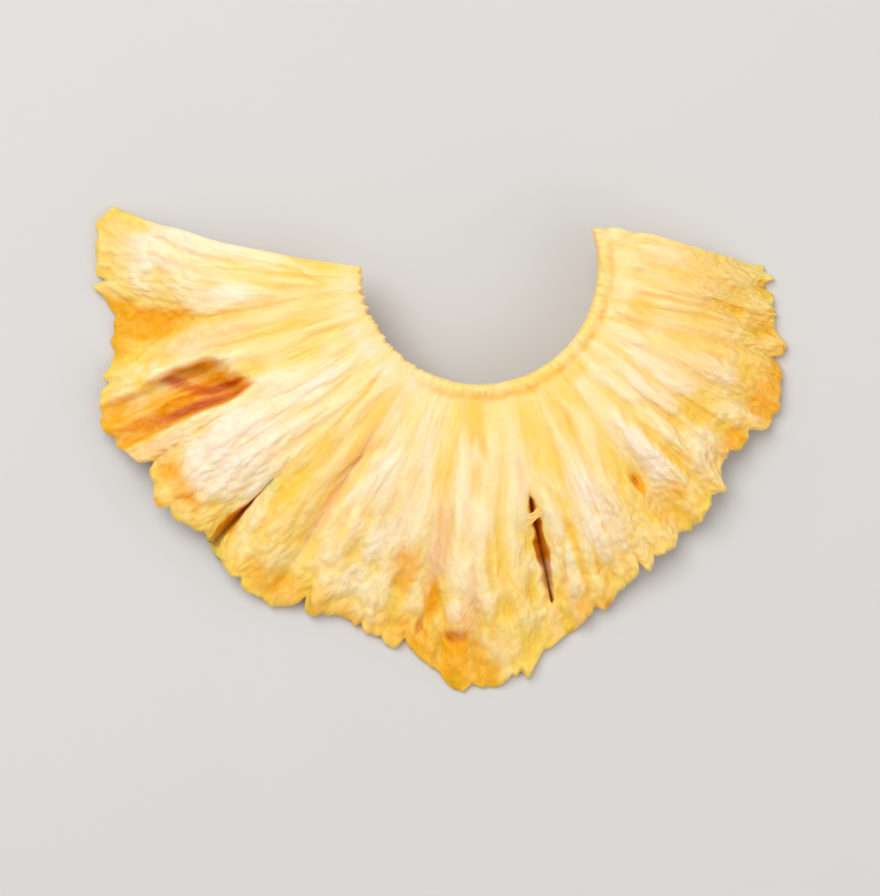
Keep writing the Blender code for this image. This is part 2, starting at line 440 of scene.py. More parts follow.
def hollowPath(out):
    # middle angle and half width of the hollow, this far out
    path = hollow["path"]
    for (start, *first), (end, *last) in zip(path, path[1:]):
        if start <= out <= end:
            share = (out - start) / (end - start)
            return [blend(a, b, share) for a, b in zip(first, last)]
    return path[0][1], -hollow["wall"]


def inHollow(angle, out):
    # 1 on the hollow's floor, 0 outside it, softened along the fibres as the walls are across them
    beforeHead = out < hollow["path"][0][0] - hollow["softness"]
    if beforeHead or abs(angle - hollow["middle"]) > hollow["reach"]:
        return 0.0
    total = 0.0
    offsets = (-1.0, -0.5, 0.0, 0.5, 1.0)
    for offset in offsets:
        middle, halfWidth = hollowPath(out + offset * hollow["softness"])
        total += 1 - ramp(abs(angle - middle), halfWidth, halfWidth + hollow["wall"])
    return total / len(offsets)


def pleats(along, out):
    whole, split = flesh["pleatShares"]
    strand = along * flesh["pleats"] + uneven(along * 9.0, out * 1.5, 8.2)
    ridge = 1 - abs(2 * (strand % 1.0) - 1) ** 2
    twin = 1 - abs(2 * ((2 * strand + 0.3) % 1.0) - 1) ** 2
    rising = ramp(out, 0.0, flesh["pleatFull"])
    return flesh["pleatHeight"] * rising * (ridge * whole + twin * split * out - 0.5)


def creaseDepth(angle, out):
    deep = 0.0
    for middle, depth, spread, start in creases:
        away = abs(angle - middle)
        if away < flesh["creaseReach"] * spread:
            deep += depth * ramp(out, start, start + flesh["creaseRise"]) * math.exp(-away / spread)
    return deep


def waves(angle, rows):
    return sum(much * uneven(angle * rate, stretch) for much, rate, stretch in rows)


def middleHeight(angle, along, out, fromHole):
    lift = flesh["edgeLift"] * math.sin(math.pi * angle / flesh["footSpacing"]) ** 2
    height = blend(flesh["crownHeight"], lift, out ** flesh["droopBend"]) - creaseDepth(angle, out)
    inside = inHollow(angle, out)
    if inside > 0:
        deep = blend(hollow["depth"], hollow["edgeDepth"], ramp(out, hollow["shallowFrom"], 1.0))
        strand = hollow["strandHeight"] * bell(angle - hollowPath(out)[0], hollow["strandWidth"])
        height -= (deep - strand * ramp(out, *hollow["strandRise"])) * inside
    lipShare = onLip(angle) * (lip["strength"] + waves(angle, lip["swells"]))
    lipAt = lip["place"] + waves(angle, lip["wanders"])
    height += lipShare * lip["height"] * bell(fromHole - lipAt, lip["width"])
    groove = bell(fromHole - lipAt - lip["grooveAway"], lip["grooveWidth"])
    height -= lipShare * lip["grooveDepth"] * groove
    return height + pleats(along, out)


def thicknessShare(angle, along, out):
    atHole, midway, atEdge = flesh["thicknessShares"]
    share = blend(atHole, midway, ramp(out, 0.0, flesh["thickFrom"]))
    share = blend(share, atEdge, ramp(out, flesh["thinFrom"], 1.0))
    share = blend(share, flesh["hollowThickness"], inHollow(angle, out))
    fromCut = ramp(min(along, 1 - along), 0.0, flesh["cutTaper"])
    return share * blend(flesh["thicknessAtCut"], 1.0, fromCut)


def onTable(height, half):
    above = height - half
    return half + (above + math.hypot(above, flesh["tableBend"])) / 2


def rounding(distance, least):
    # share of the thickness this near to an edge
    close = 1 - min(1.0, max(0.0, distance / ragged["rounding"]))
    return max(least, (1 - close**3) ** (1 / 3))


def splitShare(split, out):
    # how far open a split is, this far out; one that reaches the edge opens all the way to it
    start, end = split[1:3]
    if not start < out <= end:
        return 0.0
    share = (out - start) / (end - start)
    return (share**2 if end >= 1.0 else math.sin(math.pi * share)) ** splitShape["fullness"]


def rowPlace(row):
    return row - flesh["rowCrowding"] * math.sin(2 * math.pi * row) / (2 * math.pi)


# what colours the flesh has, and where, with painted shade in the hollow, the slits and the lip's
# groove

# tone, angle, distance from the middle of the hole, half length, half width, strength
marks = (
    ("pale", -143.0, 0.0350, 0.0070, 0.0042, 1.0),
    ("pale", -147.0, 0.0250, 0.0060, 0.0025, 0.6),
    ("pale", -184.5, 0.0350, 0.0110, 0.0032, 0.5),
    ("pale", -173.0, 0.0297, 0.0042, 0.0012, 0.9),
    ("pale", -47.5, 0.0290, 0.0038, 0.0014, 1.0),
    ("pale", -64.0, 0.0318, 0.0052, 0.0024, 0.9),
    ("pale", -110.0, 0.0270, 0.0075, 0.0036, 0.6),
    ("pale", -112.0, 0.0400, 0.0030, 0.0030, 0.5),
    ("pale", -118.0, 0.0340, 0.0060, 0.0020, 0.5),
    ("pale", -90.0, 0.0270, 0.0060, 0.0024, 0.4),
    ("pale", -32.0, 0.0230, 0.0050, 0.0028, 0.5),
    ("pale", -24.0, 0.0290, 0.0040, 0.0016, 0.5),
    ("pale", -4.0, 0.0230, 0.0050, 0.0020, 0.35),
    ("gold", -8.0, 0.0310, 0.0090, 0.0080, 0.60),
    ("gold", -21.0, 0.0338, 0.0020, 0.0030, 0.80),
    ("gold", -15.0, 0.0197, 0.0018, 0.0020, 0.60),
    ("gold", -34.0, 0.0302, 0.0022, 0.0014, 0.75),
    ("gold", -44.5, 0.0317, 0.0055, 0.0004, 0.90),
    ("gold", -48.0, 0.0162, 0.0010, 0.0012, 0.60),
    ("gold", -71.2, 0.0350, 0.0060, 0.0005, 0.90),
    ("gold", -93.0, 0.0169, 0.0024, 0.0010, 0.70),
    ("gold", -165.0, 0.0230, 0.0060, 0.0040, 0.40),
    ("gold", -128.0, 0.0330, 0.0100, 0.0022, 0.45),
    ("gold", -84.0, 0.0420, 0.0050, 0.0030, 0.35),
    ("gold", -58.0, 0.0380, 0.0040, 0.0060, 0.40),
    ("gold", 8.0, 0.0360, 0.0060, 0.0060, 0.40),
    ("gold", -92.0, 0.0178, 0.0024, 0.0006, 0.8),
    ("gold", -124.0, 0.0230, 0.0060, 0.0008, 0.8),
    ("gold", -62.0, 0.0200, 0.0040, 0.0008, 0.5),
    ("amber", -170.5, 0.0400, 0.0056, 0.0018, 0.9),
    ("amber", -171.5, 0.0440, 0.0030, 0.0034, 0.9),
    ("amber", -103.5, 0.0362, 0.0026, 0.0015, 0.75),
    ("amber", -108.0, 0.0445, 0.0020, 0.0080, 0.55),
    ("amber", -95.0, 0.0465, 0.0046, 0.0056, 0.9),
    ("amber", -103.0, 0.0432, 0.0024, 0.0030, 0.6),
    ("amber", -88.0, 0.0445, 0.0022, 0.0018, 0.5),
    ("amber", -98.0, 0.0395, 0.0028, 0.0008, 0.8),
    ("amber", -122.5, 0.0440, 0.0018, 0.0040, 0.6),
    ("amber", -145.0, 0.0430, 0.0012, 0.0040, 0.7),
    ("amber", -22.0, 0.0370, 0.0022, 0.0040, 0.75),
    ("amber", -12.0, 0.0345, 0.0022, 0.0022, 0.4),
    ("amber", -48.0, 0.0343, 0.0015, 0.0012, 0.5),
    ("amber", -53.8, 0.0308, 0.0013, 0.0005, 0.9),
    ("amber", -72.0, 0.0420, 0.0020, 0.0026, 0.5),
    ("amber", -33.0, 0.0360, 0.0018, 0.0024, 0.6),
    ("burnt", -54.0, 0.0305, 0.0008, 0.0003, 0.60),
    ("burnt", -94.0, 0.0430, 0.0009, 0.0014, 0.55),
    ("burnt", -99.5, 0.0420, 0.0012, 0.0005, 0.45),
    ("burnt", -96.5, 0.0462, 0.0014, 0.0006, 0.35),
    ("burnt", -68.5, 0.0425, 0.0010, 0.0008, 0.4),
    ("blush", -98.4, 0.0335, 0.0050, 0.0010, 0.9),
    ("blush", -91.5, 0.0395, 0.0040, 0.0010, 0.6),
    ("blush", -79.0, 0.0245, 0.0022, 0.0004, 0.6),
    ("blush", -77.8, 0.0425, 0.0026, 0.0006, 0.6),
    ("blush", -152.3, 0.0440, 0.0055, 0.0016, 0.8),
    ("blush", -166.0, 0.0337, 0.0050, 0.0016, 0.6),
    ("blush", -122.3, 0.0300, 0.0100, 0.0006, 0.7),
    ("blush", -53.0, 0.0345, 0.0040, 0.0008, 0.5),
    ("blush", -73.5, 0.0400, 0.0030, 0.0010, 0.4),
    ("blush", -40.0, 0.0355, 0.0022, 0.0020, 0.5),
)
tones = ("pale", "gold", "amber", "burnt", "blush")

markShape = {
    "core": 0.45,  # the share of a mark that has its full tone
    "softness": 1.75,
    "burntSoftness": 1.35,
    "fray": 0.45,
    "reach": 2.5,  # how many half lengths and half widths away it ends
}

# how much burnt painted shade the hollow has at its head, on its floor and along both walls, and how
# far out
hollowTones = {
    "head": 0.40, "headEnds": (0.55, 0.62),
    "floor": 0.26, "floorEnds": (0.66, 0.86),
    "upper": 1.25, "upperWidth": 1.0, "upperEnds": (0.70, 0.82),
    "upperPath": (-155.4, -161.0), "upperSlant": (0.56, 0.80),
    "lower": 0.75, "lowerWidth": 0.9, "lowerEnds": (0.70, 1.02), "lowerPlace": 0.85,
    "frayWidth": 3.0, "frayFrom": (0.60, 0.80),
}

# brown painted shade inside the slit, and paler towards its outer end
slitShadeTones = {
    "burnt": 0.42,
    "fadedBurnt": 0.2,
    "fadedAmber": 0.5,
    "fadedBlush": 0.6,
    "fades": (0.62, 0.76),
    "fadesRightOf": -100,
}


def hollowShares(shares, angle, out, warp, inside):
    # the hollow is amber, with burnt painted shade that is darkest along both of its walls and at its
    # head
    has = hollowTones
    middle, halfWidth = hollowPath(out)
    frayed = ramp(middle - angle, 0.0, has["frayWidth"]) * ramp(out, *has["frayFrom"])
    frayed *= 0.55 - 0.6 * warp
    shares["amber"] = max(shares["amber"], min(1.0, inside * 1.5) * (1 - max(0.0, frayed)))
    head = has["head"] * (1 - ramp(out, *has["headEnds"]))
    slanted = blend(*has["upperPath"], ramp(out, *has["upperSlant"]))
    upper = has["upper"] * bell(angle - slanted + 0.5 * warp, has["upperWidth"])
    upper *= 1 - ramp(out, *has["upperEnds"])
    lower = has["lower"] * bell(angle - (middle + halfWidth * has["lowerPlace"]), has["lowerWidth"])
    lower *= 1 - ramp(out, *has["lowerEnds"])
    floor = has["floor"] * (1 - ramp(out, *has["floorEnds"]))
    # painted shade: burnt along the walls, at the head and on the floor of the hollow
    dark = max(head, upper, lower, floor) * inside
    shares["burnt"] = max(shares["burnt"], min(1.0, dark * (0.95 + 0.35 * warp)))
    shares["pale"] = shares["blush"] = shares["gold"] = 0.0


def toneShares(angle, out, radius, along):
    shares = dict.fromkeys(tones, 0.0)
    warp = uneven(along * 60, out * 3.5, 21.0) + 0.45 * uneven(along * 240, out * 11, 27.0)
    reach = markShape["reach"]
    for tone, middle, distance, halfLength, halfWidth, strength in marks:
        across = math.radians(angle - middle) * radius / halfWidth
        length = (radius - distance) / halfLength
        if abs(across) < reach and abs(length) < reach:
            near = math.hypot(across, length) + markShape["fray"] * warp
            softness = markShape["burntSoftness"] if tone == "burnt" else markShape["softness"]
            share = strength * (1 - ramp(near, markShape["core"], softness))
            shares[tone] = max(shares[tone], share)
    inside = inHollow(angle, out)
    if inside > 0:
        hollowShares(shares, angle, out, warp, inside)
    lipShare = onLip(angle)
    shares["pale"] = max(shares["pale"], 0.55 * (1 - lipShare) * bell(out - 0.05, 0.05))
    # painted shade: a gold line along the groove behind the lip, and with it some gold right at the rim
    line = bell(radius - flesh["coreRadius"] - lip["goldAway"] - 0.0004 * warp, lip["goldWidth"])
    line *= 0.55 + 0.9 * uneven(angle * 0.2, 76.0) + 0.45 * bell(angle + 72, 16)
    golden = max(0.0, 0.8 * line) + 0.3 * bell(out, 0.012)
    shares["gold"] = max(shares["gold"], lipShare * golden)
    return shares


def fleshSheet():
    # a flat grid, cut open along the splits, with each split's place on it
    sheet = bmesh.new()
    columns, rows = flesh["columns"], flesh["rows"]
    bmesh.ops.create_grid(sheet, x_segments=columns, y_segments=rows, size=0.5)
    cuts = []
    for split in splits:
        angle, start, end = split[:3]
        midway = (start + end) / 2
        column = min(range(1, columns), key=lambda i: abs(fibreAngle(i / columns, midway) - angle))
        line = column / columns
        cuts.append((split, line))
        onLine = {
            vert for vert in sheet.verts
            if abs(vert.co.x + 0.5 - line) < flesh["samePlace"]
            and start <= rowPlace(vert.co.y + 0.5) <= end + flesh["samePlace"]
        }
        parted = [edge for edge in sheet.edges if onLine.issuperset(edge.verts)]
        bmesh.ops.split_edges(sheet, edges=parted)
    return sheet, cuts


def splitSides(sheet, cuts):
    # the side of each point on a split's line, read before any point moves
    sides = {}
    for split, line in cuts:
        for vert in sheet.verts:
            if abs(vert.co.x + 0.5 - line) < flesh["samePlace"]:
                middles = [face.calc_center_median().x for face in vert.link_faces]
                sides[vert] = round(sum(middles) / len(middles) - vert.co.x, 6)
    return sides


def parting(vert, cuts, sides, along, out, perShare):
    # how the splits move a point sideways and up, how near their walls it is, and what they leave
    # of the thickness; perShare is the length of the whole arc at this radius
    sideways = upwards = wall = 0.0
    left = 1.0
    for split, line in cuts:
        opened = splitShare(split, out)
        if opened == 0:
            continue
        away = along - line
        near = abs(away) * perShare
        edge = rounding(near * 2, splitShape["edgeShare"])
        left = min(left, blend(1.0, edge, min(1.0, opened * 2.5)))
        wall = max(wall, min(1.0, opened * 2) * (1 - ramp(near, 0.0, splitShape["wallReach"])))
        fade = math.exp(-abs(away) / splitShape["spread"])
        if abs(away) < flesh["samePlace"]:
            away = sides[vert]
        side = (away > 0) - (away < 0)
        uneasy = uneven(out * splitShape["raggedRate"], split[0], 3.3 * side)
        torn = 1 + splitShape["raggedness"] * uneasy
        sideways += side * fade * opened * split[3] * torn
        upwards += side * fade * opened * split[4] / 2
    return sideways, upwards, wall, left


def unevenness(angle, radius):
    # the lumps of the pulp, from about -1 to 1
    spot = Vector((math.cos(math.radians(angle)), math.sin(math.radians(angle)), 0)) * radius
    size = ragged["lumpSize"]
    return noise.noise(spot / size) + 0.5 * noise.noise(spot * 2.3 / size)


def edgeCurl(angle, out):
    curl = ragged["curl"] * uneven(angle * ragged["curlRate"], 41.0) * out**6
    return curl + ragged["flutter"] * uneven(angle * ragged["flutterRate"], 43.0) * out**16


def placeAt(angle, radius, sideways):
    # a point's place in plan, moved sideways along its circle
    turned = math.radians(angle) - sideways / radius
    return radius * math.cos(turned), radius * math.sin(turned)


def shapeSheet(sheet, cuts):
    names = ("along", "out", "upper", "topX", "topY", "topHeight", "edge", "lump", "foldShade") + tones
    layers = {name: sheet.verts.layers.float.new(name) for name in names}
    span = math.radians(flesh["rightEnd"][1] - flesh["leftEnd"][1])
    sides = splitSides(sheet, cuts)
    for vert in sheet.verts:
        along, out = vert.co.x + 0.5, rowPlace(vert.co.y + 0.5)
        angle = fibreAngle(along, out)
        inner, outer = holeRadius(angle), outerRadius(angle)
        teeth = edgeTeeth(angle) if out > 0.5 else 0.0
        radius = blend(inner, outer, out) + teeth * out**10
        toEdge = min(outer + teeth - radius, min(along, 1 - along) * span * radius)
        sideways, upwards, wall, left = parting(vert, cuts, sides, along, out, span * radius)
        left = min(left, rounding(toEdge, ragged["edgeShare"]))
        vert[layers["edge"]] = max(1 - left, wall * splitShape["calm"])
        left = min(left, rounding(radius - inner, ragged["holeEdgeShare"]))

        half = flesh["thickness"] * thicknessShare(angle, along, out) / 2
        height = middleHeight(angle, along, out, radius - flesh["coreRadius"]) + upwards
        height += edgeCurl(angle, out)
        middle = onTable(height, half) - flesh["restDepth"]
        lumps = unevenness(angle, radius)
        shares = toneShares(angle, out, radius, along)
        lump = ragged["lump"] * lumps * ramp(out, *ragged["lumpStarts"])
        lump *= blend(ragged["lumpNearHole"], 1.0, ramp(out, *ragged["lumpGrows"]))
        marked = ragged["paleRise"] * shares["pale"] - ragged["burntDip"] * shares["burnt"]
        marked -= ragged["amberDip"] * shares["amber"]
        lump = (lump + marked * (1 - inHollow(angle, out))) * left
        bottom = max(0.0, middle - half * left)
        top = max(bottom + flesh["leastThickness"], middle + half * left + lump)

        topX, topY = placeAt(angle, radius, sideways)
        vert[layers["topX"]] = topX + flesh["holeMiddle"].x
        vert[layers["topY"]] = topY + flesh["holeMiddle"].y
        vert[layers["topHeight"]] = top
        vert.co = (*placeAt(angle, radius, sideways * splitShape["floor"]), bottom)
        vert.co += flesh["holeMiddle"]
        vert[layers["along"]] = along
        vert[layers["out"]] = out
        # the lumps, kept for painted light on raised lumps and painted shade in sunk ones
        vert[layers["lump"]] = lumps * ramp(out, *ragged["lumpShade"])
        # pleats and creases, kept for painted light on the pleats and painted shade in the creases
        folded = pleats(along, out) / flesh["pleatHeight"]
        vert[layers["foldShade"]] = folded - creaseDepth(angle, out) / flesh["creaseShade"]
        # painted shade on the walls of the splits
        if wall > 0:
            slitShadeShares(shares, wall, angle, out)
        for tone, share in shares.items():
            vert[layers[tone]] = share
    return layers


# painted shade on the slit walls: amber and burnt brown, fading to paler amber and blush towards the
# outer end of the first split
def slitShadeShares(shares, wall, angle, out):
    has = slitShadeTones
    faded = ramp(out, *has["fades"]) if angle > has["fadesRightOf"] else 0.0
    wall *= 0.95 + 0.5 * uneven(out * 30, 5.5)
    shares["amber"] = max(shares["amber"], wall * (1 - has["fadedAmber"] * faded))
    shares["burnt"] = max(shares["burnt"], wall * (has["burnt"] - has["fadedBurnt"] * faded))
    shares["blush"] = max(shares["blush"], wall * faded * has["fadedBlush"])
    shares["pale"] *= 1 - wall


def drawUp(sheet, layers):
    # the sheet is the underside; drawing it up to the top closes the body all round
    drawn = bmesh.ops.extrude_face_region(sheet, geom=sheet.faces[:], use_keep_orig=True)
    for item in drawn["geom"]:
        if isinstance(item, bmesh.types.BMVert):
            item.co = [item[layers[name]] for name in ("topX", "topY", "topHeight")]
            item[layers["upper"]] = 1.0
    bmesh.ops.recalc_face_normals(sheet, faces=sheet.faces)


# relief of fibres on the flesh, by a rule on "along" and "out"

relief = {
    "bundles": 36.0,
    "bundleHeight": 0.00042,
    "fibres": 135.0,
    "fibreHeight": 0.00006,
    "stretch": 3.8,  # how short the bundles are along their length
    "bending": 0.030,  # how far the bundles wander sideways
    "patchSize": 150.0,  # waves a metre of the patches with deeply parted bundles
    "crinkleSize": 900.0,
    "crinkleHeight": 0.00022,
    "undersideShare": 0.5,
    "seed": 5.3,
}


def reliefTree():
    tree, given = newGeometryTree("fibreRelief", list(relief))

    along, out, upper, edge = (storedValue(tree, name) for name in ("along", "out", "upper", "edge"))
    bends = speckle(tree, point(tree, along * 14.0, out * 4.5, given["seed"]), detail=2.0)
    drift = along + (bends - 0.5) * given["bending"]
    bundleAt = point(tree, drift * given["bundles"], out * given["stretch"], given["seed"])
    swelling = speckle(tree, bundleAt, detail=0.0)
    place = wire.node(tree, "GeometryNodeInputPosition")
    parted = speckle(tree, place, scale=given["patchSize"], detail=1.0).between(0.42, 0.62)
    sharp = abs(swelling - 0.5).between(-0.02, 0.22)
    bundle = sharp * parted + swelling.between(0.3, 0.7) * (1 - parted)
    fibreAt = point(tree, drift * given["fibres"], out * given["stretch"] * 2.2, given["seed"] + 7.0)
    fibre = abs(speckle(tree, fibreAt, detail=0.0) - 0.5).between(-0.02, 0.22)
    crinkle = speckle(tree, place, scale=given["crinkleSize"], detail=2.0) - 0.5
    rising = out.between(0.02, 0.16)
    outer = out.between(0.60, 0.95)
    height = rising * (bundle - 0.5) * given["bundleHeight"] * (0.45 + parted) * (1 - outer * 0.35)
    height = height + out.between(0.15, 0.55) * (fibre - 0.5) * given["fibreHeight"] * (1.3 - parted)
    height = height + crinkle * given["crinkleHeight"] * (0.25 + outer * 1.35)
    height = height * (upper + (1 - upper) * given["undersideShare"]) * (1 - edge * 0.6)
    normal = wire.node(tree, "GeometryNodeInputNormal")
    move = wire.node(tree, "ShaderNodeVectorMath", {"operation": "SCALE"}, {0: normal, "Scale": height})
    kept = given["Geometry"]
    # the bundle and fibre heights are kept for the flesh's painted light and shade
    for name, value in (("bundle", bundle), ("fibre", fibre)):
        values = {"Geometry": kept, "Name": name, "Value": value}
        kept = wire.node(tree, "GeometryNodeStoreNamedAttribute", {"data_type": "FLOAT"}, values)
    moved = wire.node(tree, "GeometryNodeSetPosition", values={"Geometry": kept, "Offset": move})
    # nothing sinks into the table
    place = wire.node(tree, "GeometryNodeInputPosition")
    height = wire.node(tree, "ShaderNodeSeparateXYZ", values={0: place}, out=2)
    flat = wire.node(tree, "ShaderNodeVectorMath", {"operation": "MULTIPLY"}, {0: place, 1: (1, 1, 0)})
    raised = point(tree, 0.0, 0.0, height.atLeast(0.0))
    lifted = wire.node(tree, "ShaderNodeVectorMath", {"operation": "ADD"}, {0: flat, 1: raised})
    kept = wire.node(tree, "GeometryNodeSetPosition", values={"Geometry": moved, "Position": lifted})
    endGeometryTree(tree, kept, given)
    return tree


# the finish of the flesh

finish = {
    # valley and ridge: the flesh's tone in painted shade and in painted light, mixed by painted light
    # and by its own uneven tone; the loose fibres use them for their grain
    "valley": (0.99, 0.625, 0.095, 1.0),
    "ridge": (0.99, 0.77, 0.475, 1.0),
    "pale": (0.99, 0.79, 0.63, 1.0),
    "gold": (0.985, 0.55, 0.05, 1.0),
    "amber": (0.97, 0.40, 0.004, 1.0),
    "burnt": (0.52, 0.095, 0.0008, 1.0),
    "blush": (0.97, 0.57, 0.31, 1.0),
    "scatter": 0.70,
    "scatterRadius": (1.0, 0.40, 0.12),
    "scatterDepth": 0.0025,
    "bump": 0.00040,
    "bumpStrength": 0.70,
    "fineStreaks": 95.0,  # waves round the whole half ring, as the next three
    "coarseStreaks": 42.0,
    "threads": 420.0,
    "broadBands": 26.0,
    "cellsAlong": 150.0,
    "cellsOut": 24.0,
    "wanderSize": 230.0,  # waves a metre, as the next two
    "cloudSize": 170.0,
    "grainSize": 1500.0,
    "roughness": 0.36,
    "refraction": 1.38,
    "mirroring": 0.4,
    "fibreRoughness": 0.5,
    "fibreBump": 0.3,
    "fibreGrain": 1200.0,
}


def ownValue(tree, name):
    settings = {"attribute_type": "GEOMETRY", "attribute_name": name}
    return wire.node(tree, "ShaderNodeAttribute", settings, out="Fac")


def addBump(tree, shader, strength, height):
    values = {"Strength": strength, "Distance": finish["bump"], "Height": height}
    bump = wire.node(tree, "ShaderNodeBump", values=values)
    tree.links.new(bump.socket, shader.inputs["Normal"])


def fibreMaterial():
    material, tree, shader = newMaterial("driedFibre")
    place = wire.node(tree, "ShaderNodeTexCoord", out="Object")
    grain = speckle(tree, place, scale=finish["fibreGrain"])
    colour = mixed(tree, grain.between(0.3, 0.7), finish["valley"], finish["ridge"])
    colour = mixed(tree, ownValue(tree, "pale"), colour, finish["pale"])
    colour = mixed(tree, ownValue(tree, "gold"), colour, finish["gold"])
    tree.links.new(colour.socket, shader.inputs["Base Color"])
    shader.inputs["Roughness"].default_value = finish["fibreRoughness"]
    addBump(tree, shader, finish["fibreBump"], grain)
    return material


def fleshMaterial():
    material, tree, shader = newMaterial("driedFlesh")

    def own(name):
        return ownValue(tree, name)

    along, out = own("along"), own("out")
    bundle, fibre = own("bundle"), own("fibre")
    place = wire.node(tree, "ShaderNodeTexCoord", out="Object")
    wander = (speckle(tree, place, scale=finish["wanderSize"], detail=1.0) - 0.5) * 0.012
    drift = along + wander
    # coarser towards the hole, where the same fibres run closer together
    farOut = out.between(0.15, 0.65)
    fine = speckle(tree, point(tree, drift * finish["fineStreaks"], out * 4.0, 1.7), detail=1.6)
    coarse = speckle(tree, point(tree, drift * finish["coarseStreaks"], out * 5.0, 6.1), detail=1.6)
    streaks = fine * farOut + coarse * (1 - farOut)
    threads = speckle(tree, point(tree, drift * finish["threads"], out * 9.0, 4.2), detail=1.0)
    clouds = speckle(tree, place, scale=finish["cloudSize"], detail=3.0, roughness=0.55)
    grain = speckle(tree, place, scale=finish["grainSize"], detail=3.0, roughness=0.6)
    # short plump cells of pulp, plainest towards the outer edge
    cellAlong = (drift + (clouds - 0.5) * 0.006) * finish["cellsAlong"]
    cellAt = point(tree, cellAlong, out * finish["cellsOut"], 2.2)
    cells = wire.node(tree, "ShaderNodeTexVoronoi", values={"Vector": cellAt, "Scale": 1.0})
    pulp = (0.5 - cells) * (0.25 + out.between(0.35, 0.85))

    calm = 0.12 + 0.88 * out.between(0.05, 0.20)
    bend = speckle(tree, point(tree, along * 7.0, out * 2.5, 9.1), detail=1.0) - 0.5
    broadAt = point(tree, (along + bend * 0.05) * finish["broadBands"], out * 1.9, 3.3)
    broad = speckle(tree, broadAt, detail=2.0)
    # painted light and shade: lighter on raised bundles, fibres, lumps and pleats, darker in the
    # creases; the broad bands, clouds, streaks and pulp cells in it are the flesh's own uneven tone
    light = (bundle - 0.5) * 0.25 + (fibre - 0.5) * 0.08 + own("lump") * 0.35 + own("foldShade") * 0.35
    light = light * calm + broad * 0.85 + (streaks - 0.5) * calm * 0.22
    light = light + clouds * 0.45 + pulp * 0.22 - 0.21

    def frayed(name):
        # a tone that runs out in streaks along the fibres
        share = own(name)
        fray = (streaks - 0.5) * share.between(0.0, 0.5) * 0.8
        return (share * (0.55 + streaks * 0.9) + fray).between(-0.05, 1.1)

    # painted shade in the valley tone and painted light in the ridge tone, by that light; pale shows
    # more where painted light falls
    colour = mixed(tree, light.between(-0.05, 0.85), finish["valley"], finish["ridge"])
    paleShare = frayed("pale") * (0.60 + 0.45 * light.between(0.0, 0.7))
    colour = mixed(tree, paleShare.atMost(1.0), colour, finish["pale"])
    nearEdge = (out + (clouds - 0.5) * 0.35 + (streaks - 0.5) * 0.20).between(0.78, 1.02) * 0.75
    nearHole = 1 - out.between(0.0, 0.22) - 0.7
    goldShare = nearEdge.atLeast(own("gold") * (0.6 + 0.6 * streaks)).atLeast(nearHole)
    colour = mixed(tree, goldShare, colour, finish["gold"])
    colour = mixed(tree, own("blush") * (0.5 + threads * 0.6), colour, finish["blush"])
    # amber shows more in painted shade, and is painted shade in the sunk lumps near the outer edge
    amberShare = frayed("amber") * (0.75 + 0.45 * (1 - light.between(0.0, 0.9)))
    shadeInSunkLumps = (0.0 - own("lump")).between(0.25, 0.9) * out.between(0.72, 0.95) * 0.7
    colour = mixed(tree, amberShare.atLeast(shadeInSunkLumps).atMost(1.0), colour, finish["amber"])
    burntShare = frayed("burnt") * (0.8 + 0.3 * threads)
    colour = mixed(tree, burntShare.atMost(1.0), colour, finish["burnt"])
    tree.links.new(colour.socket, shader.inputs["Base Color"])

    rough = finish["roughness"] + 0.18 * streaks + 0.10 * (grain - 0.5)
    tree.links.new(rough.socket, shader.inputs["Roughness"])
    grooves = (streaks * 0.5 + threads * 0.25) * calm + grain * 0.40 + clouds * 0.6 + pulp * 1.1
    addBump(tree, shader, finish["bumpStrength"], grooves)
    shader.inputs["Subsurface Weight"].default_value = finish["scatter"]
    shader.inputs["Subsurface Radius"].default_value = finish["scatterRadius"]
    shader.inputs["Subsurface Scale"].default_value = finish["scatterDepth"]
    shader.inputs["IOR"].default_value = finish["refraction"]
    shader.inputs["Specular IOR Level"].default_value = finish["mirroring"]
    return material


# loose fibres: on the flesh and across the slit

fibres = {
    "onFlesh": 34,
    "onFleshRadius": (0.00004, 0.00007),
    "starts": (0.08, 0.80),  # how far out they start, and how far they run
    "runs": (0.10, 0.38),
    "drift": 0.006,
    "golds": (0.15, 0.3, 0.5, 0.8),
    "fleshWidth": 0.028,  # from the hole to the outer edge
    "clearOfSplits": 3,
    "sides": 6,
    "step": 0.0011,
    "bridgeStrands": 9,
    "bridgeRadius": (0.00008, 0.00019),
    "bridgeAt": 0.0293,  # how far from the middle of the hole they cross the slit
    "bridgeSpread": 0.0005,
    "bridgeSlant": (-0.0001, 0.0008),
    "bridgeReach": 1.75,  # how far they reach to each side, in degrees
    "bridgeReaches": (0.95, 1.35),
    "bridgeSteps": 8,
    "bridgeSag": 0.00025,
    "bridgeSunk": 0.00022,
    "castHeight": 0.03,
    "seed": 29,
}


def fibreTree():
    tree, given = newGeometryTree("fibreTubes", ["sides"])
    curve = wire.node(tree, "GeometryNodeMeshToCurve", values={"Mesh": given["Geometry"]})
    values = {"Resolution": given["sides"], "Radius": 1.0}
    ring = wire.node(tree, "GeometryNodeCurvePrimitiveCircle", values=values)
    thick = storedValue(tree, "thick")
    values = {"Curve": curve, "Profile Curve": ring, "Scale": thick, "Fill Caps": True}
    tube = wire.node(tree, "GeometryNodeCurveToMesh", values=values)
    smooth = wire.node(tree, "GeometryNodeSetShadeSmooth", values={"Geometry": tube})
    endGeometryTree(tree, smooth, given)
    return tree


